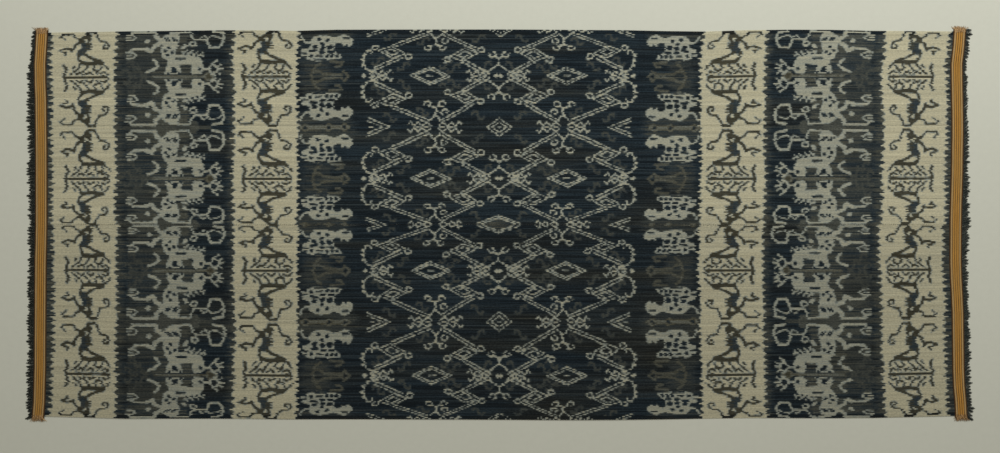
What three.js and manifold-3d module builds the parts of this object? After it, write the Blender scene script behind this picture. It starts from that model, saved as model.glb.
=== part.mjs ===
// A warp ikat cloth in two sewn panels, lying flat and face up, with a woven band and a cut fringe at each end.
// Millimetres, +Z up. X runs along the warp from end to end, and Y runs across the cloth from selvedge to selvedge.
// The origin is on the surface that the cloth lies on, under the middle of its outer box.
import * as THREE from "three";
import { mergeVertices } from "three/addons/utils/BufferGeometryUtils.js";
import Module from "manifold-3d";

const wasm = await Module();
wasm.setup();

// Driving dimensions
const HALF_WIDTH = 543; // from the centre seam to either selvedge
const BAND_CENTRE = 1283; // from the middle of the cloth to the middle of an end band
const BAND_WIDTH = 30;
const BAND_OVERHANG = 6; // how far a band runs past each selvedge
const BAND_THICKNESS = 2.8;
const BAND_RIBS = 10; // groups of coloured threads, each a low rib along the band
const RIB_HEIGHT = 0.6;
const PANEL_THICKNESS = 1.5;
const PIECE_GAP = 0.3; // between neighbouring pieces
const FRINGE_ROOT = 4; // width of the strip where the warp ends leave the band
const FRINGE_THICKNESS = 1.8;
const LOCKS = 132; // locks of cut warp ends at each end of the cloth
const LOCK_ROOT_WIDTH = 6.2;
const LOCK_TIP_WIDTH = 2.4;
const LOCK_TIP_HEIGHT = 0.9;
const LOCK_CROWN = 0.55; // width of a lock's top as a share of its base
const STATION_PITCH = 50; // the end pieces bend at these stations across the cloth, so that they keep their gap
const STATIONS = 11; // from the centre seam to just past either selvedge
const PANEL_STATIONS = 22; // along the cloth
const LOCK_STATIONS = 2; // along a lock

// Unevenness of the hand-made outline: how far an edge lies from its straight line, and how far the fringe reaches
const UPPER_SELVEDGE = [
  { x: -1250, out: -6 },
  { x: -1060, out: -2 },
  { x: -730, out: 1 },
  { x: -560, out: -1 },
  { x: -450, out: 2.5 },
  { x: 0, out: 3 },
  { x: 340, out: 1 },
  { x: 560, out: -3 },
  { x: 780, out: 2.5 },
  { x: 930, out: 2 },
  { x: 1060, out: -1 },
  { x: 1250, out: -2.5 },
];
const LOWER_SELVEDGE = [
  { x: -1250, out: -6.5 },
  { x: -1070, out: 0 },
  { x: -740, out: 0 },
  { x: -560, out: 2 },
  { x: -200, out: 2 },
  { x: 170, out: 4 },
  { x: 400, out: 3 },
  { x: 570, out: 0 },
  { x: 730, out: -2 },
  { x: 1010, out: -1 },
  { x: 1100, out: -3 },
  { x: 1250, out: -8 },
];
const CENTRE_SEAM = [
  { x: -1250, out: 0.6 },
  { x: -700, out: -0.8 },
  { x: 0, out: 0.5 },
  { x: 650, out: -0.6 },
  { x: 1250, out: 0.7 },
];
const LEFT_BAND = [
  { y: -545, shift: -9 },
  { y: -490, shift: -4.5 },
  { y: -400, shift: -2.2 },
  { y: -130, shift: -1 },
  { y: 0, shift: 1.4 },
  { y: 180, shift: 1.4 },
  { y: 340, shift: 0.3 },
  { y: 435, shift: -2.8 },
  { y: 490, shift: 0.6 },
  { y: 550, shift: 3.6 },
];
const RIGHT_BAND = [
  { y: -545, shift: 11 },
  { y: -410, shift: 2.5 },
  { y: -270, shift: 1.1 },
  { y: -100, shift: -5.5 },
  { y: 0, shift: -5 },
  { y: 180, shift: -1 },
  { y: 265, shift: 0.3 },
  { y: 450, shift: -2.2 },
  { y: 503, shift: 3.6 },
  { y: 550, shift: 7 },
];
const LEFT_FRINGE = [
  { y: -550, reach: 19 },
  { y: -380, reach: 22 },
  { y: -200, reach: 20 },
  { y: -40, reach: 21 },
  { y: 130, reach: 23 },
  { y: 300, reach: 24 },
  { y: 400, reach: 21 },
  { y: 500, reach: 14 },
  { y: 550, reach: 12 },
];
const RIGHT_FRINGE = [
  { y: -550, reach: 20 },
  { y: -420, reach: 21 },
  { y: -230, reach: 17 },
  { y: -100, reach: 20 },
  { y: 0, reach: 24 },
  { y: 120, reach: 20 },
  { y: 270, reach: 16 },
  { y: 430, reach: 14 },
  { y: 510, reach: 15 },
  { y: 550, reach: 21 },
];
const REACH_SCATTER = 0.22; // share by which a lock is longer or shorter than the table says
const LEAN_WAVE = { size: 5, length: 330 }; // neighbouring locks lean together, in slow waves along the end
const LEAN_SCATTER = 1.1;
const CORNER_SPLAY = { size: 7, span: 26 }; // locks at the corners fan outwards

// A value from a table of rows, eased smoothly from row to row and held past its ends.
function tableValue(rows, place, at, column) {
  const last = rows.length - 1;
  if (at <= rows[0][place]) return rows[0][column];
  if (at >= rows[last][place]) return rows[last][column];
  const next = rows.findIndex((row) => row[place] >= at);
  const [from, to] = [rows[next - 1], rows[next]];
  const share = THREE.MathUtils.smoothstep(at, from[place], to[place]);
  return THREE.MathUtils.lerp(from[column], to[column], share);
}

// A repeatable scatter from -1 to 1 for a numbered piece.
function scatter(index, kind) {
  const wave = Math.sin(index * 12.9898 + kind * 78.233) * 43758.5453;
  return 2 * (wave - Math.floor(wave)) - 1;
}

const upperEdge = (x) => HALF_WIDTH + tableValue(UPPER_SELVEDGE, "x", x, "out");
const lowerEdge = (x) => -HALF_WIDTH - tableValue(LOWER_SELVEDGE, "x", x, "out");
const seamLine = (x) => tableValue(CENTRE_SEAM, "x", x, "out");

// One end of the cloth: which way is outwards, the run of its band and the reach of its fringe.
const ENDS = {
  left: { outward: -1, band: LEFT_BAND, fringe: LEFT_FRINGE, kind: 1 },
  right: { outward: 1, band: RIGHT_BAND, fringe: RIGHT_FRINGE, kind: 2 },
};
const stationLine = (end, station) =>
  end.outward * BAND_CENTRE + tableValue(end.band, "y", station * STATION_PITCH, "shift");

// The middle of an end band at any place across the cloth, straight from station to station.
function bandLine(end, y) {
  const station = Math.floor(y / STATION_PITCH);
  const share = y / STATION_PITCH - station;
  return THREE.MathUtils.lerp(stationLine(end, station), stationLine(end, station + 1), share);
}
const panelEnd = (end, y) => bandLine(end, y) - end.outward * (BAND_WIDTH / 2 + PIECE_GAP);
const fringeRoot = (end, y) => bandLine(end, y) + end.outward * (BAND_WIDTH / 2 + PIECE_GAP);

// Moves every vertex of a geometry to the place that a function gives for it.
function reshape(geometry, placeOf) {
  const position = geometry.getAttribute("position");
  const point = new THREE.Vector3();
  for (let i = 0; i < position.count; i += 1) {
    point.fromBufferAttribute(position, i);
    position.setXYZ(i, ...placeOf(point));
  }
  return geometry;
}

// A woven panel: a thin flat sheet between the centre seam and one selvedge, cut to the runs of the end bands.
function panelGeometry(side) {
  const edge = side > 0 ? upperEdge : lowerEdge;
  const sheet = new THREE.BoxGeometry(1, STATIONS, PANEL_THICKNESS, PANEL_STATIONS, STATIONS, 1);
  return reshape(sheet, (point) => {
    const along = point.x + 0.5;
    const nominalX = THREE.MathUtils.lerp(-BAND_CENTRE, BAND_CENTRE, along);
    const station = Math.round(STATIONS / 2 + side * point.y);
    let y = side * station * STATION_PITCH;
    if (station === 0) y = seamLine(nominalX) + side * (PIECE_GAP / 2);
    if (station === STATIONS) y = edge(nominalX);
    const x = THREE.MathUtils.lerp(panelEnd(ENDS.left, y), panelEnd(ENDS.right, y), along);
    return [x, y, point.z + PANEL_THICKNESS / 2];
  });
}

// The section of an end band: flat below, with low rounded ribs above.
function bandSection() {
  const section = new THREE.Shape();
  const pitch = BAND_WIDTH / BAND_RIBS;
  const valley = BAND_THICKNESS - RIB_HEIGHT;
  section.moveTo(-BAND_WIDTH / 2, 0);
  section.lineTo(BAND_WIDTH / 2, 0);
  section.lineTo(BAND_WIDTH / 2, valley);
  for (let rib = BAND_RIBS - 1; rib >= 0; rib -= 1) {
    const start = -BAND_WIDTH / 2 + rib * pitch;
    section.lineTo(start + pitch / 2, BAND_THICKNESS);
    section.lineTo(start, valley);
  }
  return section;
}

// The reach of an end piece across the cloth, with its overhang past each selvedge.
function endSpan(end, overhang) {
  const x = end.outward * BAND_CENTRE;
  return { low: lowerEdge(x) - overhang, high: upperEdge(x) + overhang };
}

// An end band: the ribbed section run across both panels and a little past the selvedges, on its uneven line.
function bandGeometry(end) {
  const { low, high } = endSpan(end, BAND_OVERHANG);
  const strip = new THREE.ExtrudeGeometry(bandSection(), {
    depth: 2 * STATIONS * STATION_PITCH,
    steps: 2 * STATIONS,
    bevelEnabled: false,
  });
  strip.rotateX(Math.PI / 2);
  strip.translate(0, STATIONS * STATION_PITCH, 0);
  return reshape(strip, (point) => {
    const y = THREE.MathUtils.clamp(point.y, low, high);
    return [point.x + bandLine(end, y), y, point.z];
  });
}

// A closed geometry as a solid that can be joined to others, and a joined solid as a geometry.
function solidOf(geometry) {
  geometry.deleteAttribute("normal");
  geometry.deleteAttribute("uv");
  const merged = mergeVertices(geometry);
  return new wasm.Manifold(
    new wasm.Mesh({
      numProp: 3,
      vertProperties: merged.getAttribute("position").array,
      triVerts: new Uint32Array(merged.index.array),
    }),
  );
}

function geometryOf(solid) {
  const mesh = solid.getMesh();
  const geometry = new THREE.BufferGeometry();
  geometry.setAttribute("position", new THREE.BufferAttribute(mesh.vertProperties, 3));
  geometry.setIndex(new THREE.BufferAttribute(mesh.triVerts, 1));
  geometry.computeVertexNormals();
  return geometry;
}

// The strip that holds the locks together, along the outer side of an end band.
function fringeStrip(end, low, high) {
  const across = 2 * STATIONS * STATION_PITCH;
  const strip = new THREE.BoxGeometry(FRINGE_ROOT, across, FRINGE_THICKNESS, 1, 2 * STATIONS, 1);
  strip.translate((end.outward * FRINGE_ROOT) / 2, 0, FRINGE_THICKNESS / 2);
  return reshape(strip, (point) => {
    const y = THREE.MathUtils.clamp(point.y, low, high);
    return [point.x + fringeRoot(end, y), y, point.z];
  });
}

// How far a lock's tip lies to the side of its root: slow shared waves, a little scatter and a fan at the corners.
function lockLean(end, index, y, low, high) {
  const wave = LEAN_WAVE.size * Math.sin((2 * Math.PI * y) / LEAN_WAVE.length + end.kind);
  const nearHigh = THREE.MathUtils.smoothstep(y, high - CORNER_SPLAY.span, high);
  const nearLow = 1 - THREE.MathUtils.smoothstep(y, low, low + CORNER_SPLAY.span);
  return wave + LEAN_SCATTER * scatter(index, end.kind) + CORNER_SPLAY.size * (nearHigh - nearLow);
}

// A lock of cut warp ends: four-sided, lying level, narrower and lower towards its tip.
function lockGeometry(end, index, y, low, high) {
  const reach = tableValue(end.fringe, "y", y, "reach") * (1 + REACH_SCATTER * scatter(index, end.kind + 10));
  const lean = lockLean(end, index, y, low, high);
  const start = fringeRoot(end, y) + end.outward * (FRINGE_ROOT / 2);
  const length = reach - FRINGE_ROOT / 2;
  const lock = new THREE.BoxGeometry(1, 1, 1, LOCK_STATIONS, 1, 1);
  return reshape(lock, (point) => {
    const along = 0.5 + end.outward * point.x;
    const onTop = point.z > 0;
    const width = THREE.MathUtils.lerp(LOCK_ROOT_WIDTH, LOCK_TIP_WIDTH, along * along);
    const height = THREE.MathUtils.lerp(FRINGE_THICKNESS - PIECE_GAP, LOCK_TIP_HEIGHT, along);
    const side = point.y * width * (onTop ? LOCK_CROWN : 1);
    return [start + end.outward * along * length, y + lean * along * along + side, onTop ? height : 0];
  });
}

// A cut fringe: the locks joined to their strip.
function fringeGeometry(end) {
  const { low, high } = endSpan(end, BAND_OVERHANG / 2);
  const pitch = (high - low) / LOCKS;
  const pieces = [solidOf(fringeStrip(end, low, high))];
  for (let index = 0; index < LOCKS; index += 1) {
    const y = low + (index + 0.5) * pitch;
    pieces.push(solidOf(lockGeometry(end, index, y, low, high)));
  }
  return geometryOf(wasm.Manifold.union(pieces));
}

const ikatWarp = new THREE.MeshStandardMaterial({ color: 0x6f6a5c, roughness: 0.9, metalness: 0 });
const bandYarn = new THREE.MeshStandardMaterial({ color: 0x9a6a33, roughness: 0.85, metalness: 0 });
const fringeYarn = new THREE.MeshStandardMaterial({ color: 0x262a31, roughness: 0.95, metalness: 0 });

function piece(name, geometry, material) {
  const mesh = new THREE.Mesh(geometry, material);
  mesh.name = name;
  return mesh;
}

const cloth = new THREE.Group();
cloth.add(piece("panel_upper", panelGeometry(1), ikatWarp));
cloth.add(piece("panel_lower", panelGeometry(-1), ikatWarp));
for (const [side, end] of Object.entries(ENDS)) {
  cloth.add(piece(`band_${side}`, bandGeometry(end), bandYarn));
  cloth.add(piece(`fringe_${side}`, fringeGeometry(end), fringeYarn));
}

// The uneven outline is set down with the middle of its box over the origin.
const middle = new THREE.Box3().setFromObject(cloth).getCenter(new THREE.Vector3());
for (const mesh of cloth.children) mesh.position.set(-middle.x, -middle.y, 0);

export default cloth;
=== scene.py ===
"""A warp ikat cloth in two sewn panels, lying flat and face up, with woven end bands and cut fringes.

X runs along the warp, Y across the cloth and Z up out of its face, all in metres. The design of an ikat
is tied and dyed into the warp before weaving, so it is charted here in steps. Each bundle of the
warp lies a little off its place along the cloth, which gives the stepped and feathered edges of ikat.
"""

from collections import namedtuple

import bmesh
import bpy
import numpy as np
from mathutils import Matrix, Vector


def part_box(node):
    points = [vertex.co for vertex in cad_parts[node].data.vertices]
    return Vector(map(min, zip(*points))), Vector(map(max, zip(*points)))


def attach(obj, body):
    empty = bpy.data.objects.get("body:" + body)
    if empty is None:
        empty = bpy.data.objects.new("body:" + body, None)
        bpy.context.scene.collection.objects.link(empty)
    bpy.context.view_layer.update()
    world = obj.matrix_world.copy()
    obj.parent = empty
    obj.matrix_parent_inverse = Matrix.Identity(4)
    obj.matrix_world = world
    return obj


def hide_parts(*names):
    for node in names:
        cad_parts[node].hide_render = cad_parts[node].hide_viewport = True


bl_info = {
    "name": "Warp ikat cloth",
    "version": (1, 0, 0),
    "blender": (4, 5, 0),
    "location": "View3D > Sidebar > Ikat",
    "description": "Lays out a two-panel warp ikat cloth with end bands and fringes on a plain stage",
    "category": "Add Mesh",
}

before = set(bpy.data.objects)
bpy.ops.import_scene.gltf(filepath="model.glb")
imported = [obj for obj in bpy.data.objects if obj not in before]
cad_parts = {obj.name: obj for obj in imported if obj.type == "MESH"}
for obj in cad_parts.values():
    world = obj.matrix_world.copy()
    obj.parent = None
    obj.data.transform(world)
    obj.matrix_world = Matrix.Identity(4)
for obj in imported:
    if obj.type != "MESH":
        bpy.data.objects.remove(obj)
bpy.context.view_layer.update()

# Sizes of the chart that the warp is tied by
STEP = 0.0045  # one step of the chart
BUNDLES = 161  # bundles across a panel, each a row of faces
TIES = 592  # places along a bundle where its dye is set
FEET_TO_TREE = 32  # steps from the animals' feet to the mirror line at the trees
EDGE_ROW = 1  # row of the chart that falls on a seam or selvedge
FEATHER = 0.6  # steps over which a dyed edge fades
SLIP_MARGIN = 4  # steps that the unevenness of the warp can move a mark
SELVEDGE_BUNDLES = 3  # outermost bundles, which take all the dye

# Widths of a stroke, in chart steps
HAIR = 0.75
THIN = 1.0
FIRM = 1.3
BROAD = 1.7
HEAVY = 2.6

PanelPlan = namedtuple("PanelPlan", "side tree_below tree_above shade seed")
Tone = namedtuple("Tone", "depth brown")
Mark = namedtuple("Mark", "kind tone size points")
Edge = namedtuple("Edge", "place pitch length")
LightBand = namedtuple("LightBand", "outer inner start stretch")
Uneven = namedtuple("Uneven", "amount grain")

# How the two panels, and the two ends of the cloth, lie in the frame
PANELS = {
    "panel_upper": PanelPlan(side=1, tree_below=32, tree_above=32, shade=0.52, seed=7),
    # the lower panel's lower shade darkens it as painted shade, for light that falls off towards the lower
    # selvedge
    "panel_lower": PanelPlan(side=-1, tree_below=33.5, tree_above=32, shade=0.34, seed=8),
}
ENDS = {"left": -1, "right": 1}
FRAYED_RADIUS = 0.0006  # of the loose yarns at the ends of the bands
UNDERSIDE = 0.0001  # height of a piece's back above the surface that it lies on

# Unevenness of the warp: its amount, and its grain in bundles and in places along them
SLIP = Uneven(0.5, (1, 43))  # steps that a bundle lies off its place along the cloth
SWAY = Uneven(0.5, (11, 33))  # steps that neighbouring bundles lie off together
WANDER = Uneven(0.35, (11, 33))  # steps that the chart lies off across the cloth
BULGE = Uneven(0.7, (20, 87))  # steps that a light band's edge bulges
NOTCH = Uneven(0.35, (1, 87))  # steps that each bundle differs at that edge
RAGGED = Uneven(0.22, (1, 2))  # steps that a mark's edge is ragged
DRIFT = Uneven(0.65, (1, 33))  # shift of a haze's ends, as a share of its fade
UPTAKE = Uneven(0.6, (1, 22))  # how unevenly a haze's dye is taken up
DYE_DEPTH = Uneven(0.1, (1, 45))  # of the dye in the dark ground
RUST = Uneven(0.5, (12, 66))  # brown patches in the dark ground
STREAK = Uneven(0.1, (1, 52))  # brown of single bundles
COTTON_SHADE = Uneven(0.14, (1, 37))  # of the cotton itself

# Tones of dye, from undyed to the dark ground
PALE = Tone(0.05, 0.0)
FROST = Tone(0.18, 0.0)
CHALK = Tone(0.26, 0.0)
SEPIA = Tone(0.62, 0.7)
DUSK = Tone(0.68, 0.15)
EARTH = Tone(0.66, 0.4)
SLATE = Tone(0.67, 0.3)
ASH = Tone(0.72, 0.2)
MOSS = Tone(0.76, 0.3)
TEAL = Tone(0.78, 0.0)
INDIGO = Tone(0.81, 0.75)
INK = Tone(0.94, 0.05)

# Places along the cloth, in chart steps from its middle
DARK_BAND_START = 237.5
SPOTTED_START = 125.5
LIGHT_BANDS = (
    LightBand(Edge(280, 3.9, 1.5), Edge(239, 4.4, 1.4), start=278.5, stretch=1.0),
    LightBand(Edge(166.5, 4.4, 1.4), Edge(125.5, 3.8, 1.3), start=168.0, stretch=1.1),
)


def line(tone, width, *points):
    """A stroke of even width through points of a chart."""
    return Mark("line", tone, width, points)


def patch(tone, *points):
    """A filled outline."""
    return Mark("patch", tone, 0, points)


def haze(tone, fade, *points):
    """A filled outline that fades slowly along the warp, and that each bundle takes up unevenly."""
    return Mark("haze", tone, fade, points)


def spots(tone, radius, *points):
    """Round spots of one size."""
    return Mark("spots", tone, radius, points)


def lozenge(tone, width, along, across, half_along, half_across):
    """An outlined diamond."""
    corners = ((-1, 0), (0, 1), (1, 0), (0, -1), (-1, 0))
    return line(tone, width, *((along + a * half_along, across + b * half_across) for a, b in corners))


def curl(tone, width, along, across, radius, start, sweep):
    """A hook: an arc from one angle through another, in degrees, a little flattened across the cloth."""
    flatness, corners = 0.8, 9
    turn = np.radians(np.linspace(start, start + sweep, corners))
    return line(tone, width, *zip(along + radius * np.cos(turn), across + flatness * radius * np.sin(turn)))


def animal_and_tree():
    """Chart of the light bands: a long-tailed animal, and half of the tree at the mirror line."""
    return [
        # Hind foot, rump and tail
        line(INDIGO, FIRM, (4.5, 4.5), (6, 2.5), (12, 2.5), (13.5, 5), (16, 6)),
        line(INDIGO, THIN, (6, 5), (7.5, 6.5)),
        patch(INDIGO, (15, 7), (18.5, 4), (21.5, 2.5), (24, 4), (23.5, 7), (22, 9.5), (17, 9.5)),
        line(INDIGO, BROAD, (20.5, 3), (22, 1.5), (26, 1.5)),
        line(INDIGO, FIRM, (26, 1.5), (27.5, 5), (29, 8), (32.5, 8.5), (34, 10)),
        line(INDIGO, FIRM, (34, 10), (34.5, 12), (33.5, 13.5), (31.5, 13.5), (31, 12), (32, 11)),
        spots(PALE, 1.3, (20, 7.5)),
        # Second hind leg, body with a ragged back, and the front leg
        line(INDIGO, BROAD, (12.5, 15), (13, 13), (14, 10.5), (16.5, 8.5), (19, 8)),
        patch(
            TEAL, (17.5, 13.5), (17.5, 9.5), (22, 9), (23, 12.5), (21.5, 15.5), (20.5, 18), (17.5, 18),
            (15.5, 17), (16, 14.5),
        ),
        *(line(INDIGO, FIRM, (20.5, row), (23.5, row)) for row in (10, 12, 14)),
        line(INDIGO, BROAD, (5, 14.5), (8.5, 13), (12.5, 14)),
        line(INDIGO, FIRM, (8, 17.5), (9, 16), (6.5, 15.5)),
        # Neck in two strokes, and head
        line(INDIGO, BROAD, (16, 17), (16.5, 20), (18, 22)),
        line(INDIGO, BROAD, (20, 17), (24, 19.5), (28, 21), (31, 22)),
        line(INDIGO, HEAVY, (18, 22.5), (23, 23), (30.5, 22.5)),
        line(INDIGO, FIRM, (31, 23), (33.5, 25), (35, 27)),
        # Branches with their leaves, and a tuft at the crown
        line(INDIGO, FIRM, (17.5, 23.5), (16, 26.5), (13.5, 28.5), (11.5, 30)),
        line(INDIGO, FIRM, (22.5, 23.5), (21, 26.5), (19, 28.5)),
        *(line(INDIGO, FIRM, (leaf - 2, 30), (leaf, 28.5), (leaf + 2, 30)) for leaf in (17, 23)),
        line(INDIGO, FIRM, (13, 26), (14, 24.5)),
        line(INDIGO, FIRM, (26.5, 24), (25.5, 26.5), (27.5, 28), (30, 27.5), (30.5, 25)),
        line(INDIGO, THIN, (28.5, 28), (27.5, 30)),
        line(INDIGO, FIRM, (34.5, 30.5), (32.5, 28.5), (30, 29.5)),
        # Trunk with its root and crown
        line(INDIGO, BROAD, (7.5, 32), (34, 32)),
        line(INDIGO, BROAD, (7.5, 24), (9, 27), (8, 29.5), (7.5, 32)),
        patch(INDIGO, (29.5, 32), (32, 30.5), (35, 32), (32, 33.5)),
    ]


def dark_end():
    """Chart of the strip beside an end band, where the dye is thinner."""
    return [haze(SLATE, 3, (-12, -2), (3, -2), (3, 34), (-12, 34))]


def claws(along, across):
    """A foot at the end of its leg: two fingers that meet at the palm, and a short one between them."""
    sole = ((5, 0), (3, 0.6), (1.5, 2.2))
    fingers = ((0, 2.2), (4, 2.2), (6.5, 3.8), (4.5, 5.6), (0.5, 5.8))
    thumb = ((0, 4), (3, 4))
    return [
        line(CHALK, width, *((along + a, across + b) for a, b in path))
        for width, path in ((FIRM, sole), (THIN, fingers), (HAIR, thumb))
    ]


def clawed_beast():
    """Chart of the dark bands: a pale clawed beast with a looped tail, standing off the feet line."""
    tree = FEET_TO_TREE
    return [
        # Thin dye at the band's margins, around the body and before the head
        haze(SLATE, 6, (-9, -2), (3, -2), (3, 34), (-9, 34)),
        haze(MOSS, 2, (5, -2), (20, -2), (20, 34), (5, 34)),
        haze(DUSK, 2, (11, 3), (24, 3), (24, 12), (11, 12)),
        haze(SLATE, 2, (20, -2), (45, -2), (43, 14), (47, 34), (20, 34)),
        haze(SLATE, 4, (68, -2), (80, -2), (80, 34), (68, 34)),
        *(mark for place in ((9.5, 24), (14, 29), (7, 30)) for mark in smudge(*place)),
        # Bars on the tree line and the feet line, each with smoky swellings
        line(SEPIA, FIRM, (22, tree), (60, tree)),
        spots(SEPIA, 3, (57, tree)),
        spots(INDIGO, 1.6, (57, tree)),
        line(MOSS, HEAVY, (4, 0), (57, 0)),
        patch(DUSK, (21, 0), (25, 4.5), (31, 4.5), (36, 0), (31, -4.5), (25, -4.5)),
        patch(DUSK, (44.5, 0), (46, 4.5), (49, 4), (50.5, 0), (49, -4), (46, -4.5)),
        # Hind leg and claws
        line(CHALK, BROAD, (8, 2), (22.5, 2)),
        line(CHALK, HEAVY, (22.5, 2.5), (23, 5), (26.5, 8)),
        *claws(4.5, 2),
        spots(CHALK, 1.6, (18, 8.5)),
        # Front leg and claws, and the crescent before it
        line(CHALK, BROAD, (9, 14.5), (18, 14)),
        line(CHALK, HEAVY, (17, 14.5), (20.5, 16)),
        line(CHALK, HEAVY, (21, 15.5), (22, 12.5), (26.5, 10)),
        *claws(5, 14.5),
        line(CHALK, BROAD, (18, 29), (22.5, 27.5), (25, 25), (23.5, 22.5), (22, 21.5)),
        # Body, neck, brow and lobe, with a hatched flank and spotted shoulder
        patch(
            CHALK, (28, 20.5), (30.5, 22), (31, 25.5), (36, 25.5), (40, 25), (46, 24.5), (45.5, 28.5),
            (47, 31), (52, 30.5), (54, 27.5), (53, 23), (51.5, 20), (47, 18.5), (41, 18), (36.5, 18.5),
            (36, 16.5), (37, 12.5), (38, 8), (37.5, 4.5), (35.5, 2), (32, 2), (29, 4), (26.5, 6.5),
            (25.5, 9.5), (27, 11.5), (26.5, 16),
        ),
        *(line(INK, THIN, (at, 6.5), (at + 1.5, 8.5)) for at in (29, 30.5, 33.5, 35)),
        spots(INK, 1.0, (31, 18.5), (29.5, 16), (34, 17), (31.5, 13.5)),
        line(INK, FIRM, (36, 21), (41.5, 21)),
        spots(INK, 1.1, (51, 27.5)),
        # Ears on either side of a gap
        patch(CHALK, (29, 30.5), (30, 25), (38.5, 25), (40, 30.5)),
        patch(INK, (33, 29.5), (33.5, 26), (35.5, 26), (37, 29.5)),
        spots(INK, 0.8, (31.5, 30), (38.5, 30)),
        # Crest
        line(CHALK, FIRM, (40.5, 17), (53.5, 19.5)),
        *(line(CHALK, THIN, (at, at / 5 + 8.5), (at + 1.5, at / 5 + 7)) for at in (42, 45, 48.5, 51.5)),
        spots(INK, 0.7, (42.5, 18), (46, 18.5), (49, 19), (52, 20)),
        # Flower
        line(CHALK, FIRM, (53.5, 27.5), (57, 27.5)),
        line(CHALK, FIRM, (56.5, 27.5), (59.5, 30.5), (61, 31)),
        line(CHALK, FIRM, (56.5, 27.5), (59, 24), (62, 22)),
        line(CHALK, FIRM, (59.5, 30), (62, 28.5), (62, 26), (59.5, 24.5)),
        line(CHALK, THIN, (62, 29), (64, 30.5)),
        line(CHALK, FIRM, (62, 27.5), (65, 27)),
        line(CHALK, THIN, (61.5, 26), (64.5, 24.5)),
        # Leaf and tail
        patch(CHALK, (39, 14.5), (41.5, 14.5), (43.5, 12), (41, 11)),
        line(CHALK, FIRM, (35, 2.5), (44, 2), (45.5, 6), (47, 8), (55, 8)),
        line(CHALK, BROAD, (55, 8), (57, 14), (62.5, 14), (64.5, 11), (65.5, 7.5), (64.5, 3), (58.5, 2)),
        curl(CHALK, FIRM, 46.5, 11, 2.0, -60, 330),
        line(CHALK, THIN, (50.5, 7), (53, 5), (55.5, 7), (57.5, 5), (61.5, 6), (64, 7.5)),
    ]


def spotted_animal():
    """Chart of the inner dark bands: a stocky spotted animal with lacy legs, and a smoky fork."""
    rings = ((4, 0), (19, 0), (29, 0))
    return [
        # Thin dye around the animal
        haze(MOSS, 5, (-4, -2), (36, -2), (34, 7), (-4, 9)),
        haze(MOSS, 4, (3, 22), (19, 23), (22, 34), (3, 34)),
        line(SEPIA, HEAVY, (1.5, 0), (31.5, 0)),
        spots(SEPIA, 2.4, *rings),
        spots(INK, 1.1, *rings),
        # Smoky fork
        line(EARTH, BROAD, (9, 31.5), (10, 28.5), (13, 28.5), (16.5, 30.5), (22.5, 31), (27.5, 31)),
        line(EARTH, BROAD, (27.5, 31), (29, 29), (32, 32)),
        line(EARTH, BROAD, (10, 28.5), (11.5, 25.5), (14, 24)),
        line(EARTH, BROAD, (24, 26), (26.5, 26), (28, 23.5), (20, 23)),
        # Lace of legs and feet
        patch(
            CHALK, (1.5, 19), (5.5, 21), (11.5, 22.5), (27, 21), (26.5, 19), (22.5, 16.5), (22, 11),
            (8.5, 10.5), (2.5, 14.5),
        ),
        line(INK, BROAD, (8, 16), (11.5, 15.5)),
        line(INK, BROAD, (19, 17), (21.5, 17)),
        line(INK, BROAD, (14, 17), (16, 17)),
        line(INK, THIN, (1.5, 17), (5, 17.5)),
        line(INK, FIRM, (3.5, 13.5), (6.5, 12.5)),
        line(INK, THIN, (2.5, 20), (5, 19.5)),
        line(INK, THIN, (11.5, 19), (15, 19.5)),
        line(INK, THIN, (10.5, 21.5), (17.5, 21.5)),
        spots(INK, 1.9, (19.5, 13.5)),
        spots(INK, 1.6, (10, 13), (15, 14)),
        spots(INK, 1.1, (8, 19), (18, 19.5), (21, 19.5), (24, 19.5)),
        # Body, neck and head, with the tail
        patch(
            CHALK, (7.5, 7), (10, 5), (14, 4.5), (18.5, 5), (22.5, 6.5), (25.5, 5.5), (28.5, 4), (31, 5),
            (34, 8), (34, 10.5), (32, 13), (30.5, 13), (29.5, 11.5), (27.5, 13), (26, 10.5),
            (23.5, 10.5), (22, 12), (8.5, 11.5), (6, 10),
        ),
        line(CHALK, FIRM, (7, 10), (4, 9.5), (2, 7), (1.5, 5)),
        spots(INK, 1.2, (12.5, 7.5), (18, 8.5), (14.5, 11)),
        line(INK, FIRM, (28, 7), (31, 7)),
    ]


def knot(along, across, lean):
    """Nested boxes of the lattice that lean with its bars, with a ring at each long end."""
    rim = ((-8.5, 1), (-0.5, 4), (8.5, -1), (0.5, -4), (-8.5, 1))
    ends = ((-lean, 1), (lean, -1))
    rings = [
        curl(FROST, THIN, along + 10.5 * way, across + 3 * up, 2, np.degrees(np.arctan2(-up, -way)), 320)
        for way, up in ends
    ]
    boxes = [
        line(FROST, HAIR, *((along + lean * a * size, across + b * size) for a, b in rim))
        for size in (1, 0.5)
    ]
    return [*rings, *boxes]


def bar(begin, end):
    """A pair of strokes side by side."""
    lift = 1
    return [line(FROST, HAIR, (begin[0], begin[1] + by), (end[0], end[1] + by)) for by in (-lift, lift)]


def twig(along, way, axis):
    """A chain of leaves along one of the mirror lines, drawn on one side of it."""
    off = 1 if axis == 0 else -1
    rim = ((-1, 1), (1.5, 3), (4.5, 0.5), (7, 3), (9.5, 0.5), (11.5, 3.5), (13, 2))
    return [
        line(FROST, THIN, *((along + way * a, axis + off * b) for a, b in rim)),
        *(line(FROST, THIN, (along + way * at, axis), (along + way * (at + 2), axis)) for at in (0.5, 6)),
    ]


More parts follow.
